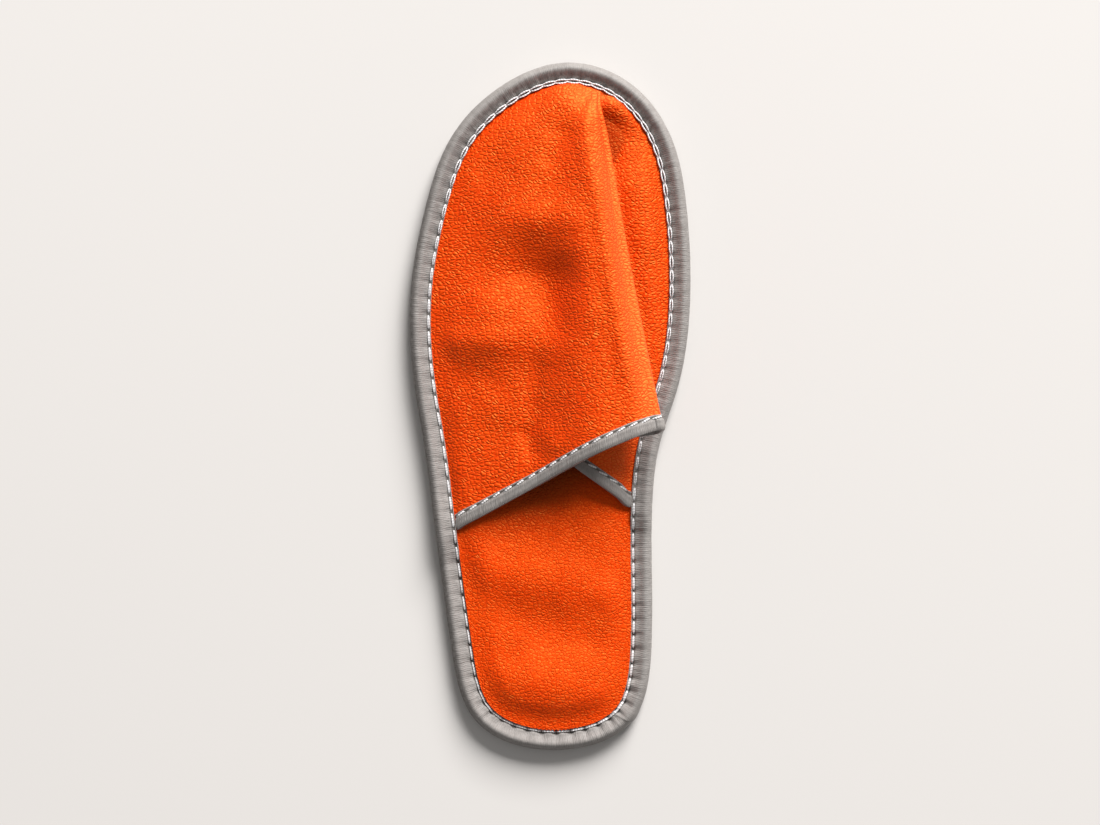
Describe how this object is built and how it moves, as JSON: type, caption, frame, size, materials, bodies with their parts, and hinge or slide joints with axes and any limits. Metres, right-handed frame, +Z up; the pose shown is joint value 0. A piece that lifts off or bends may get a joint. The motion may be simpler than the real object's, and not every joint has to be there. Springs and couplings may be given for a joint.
{
  "type": "hotel slipper",
  "caption": "Closed-toe backless hotel slipper for the left foot: flat treaded sole, padded insole, slack folded upper and stitched tape bindings.",
  "frame": {"origin": "centre of the footprint's bounding box, on the floor under the sole", "axes": "+Y to the toe, +X to the medial side (the big-toe side of the left foot), +Z up"},
  "size_m": [0.1161, 0.2848, 0.0295],
  "materials": {
    "tread": "matte foam",
    "insole_fabric": "satin, grained, padded",
    "upper_fabric": "satin, grained",
    "sole_tape": "woven, matte",
    "collar_tape": "woven, matte"
  },
  "bodies": {
    "root": {"outsole": "tread", "insole": "insole_fabric", "upper": "upper_fabric", "sole_binding": "sole_tape", "collar_binding": "collar_tape"}
  },
  "joints": []
}
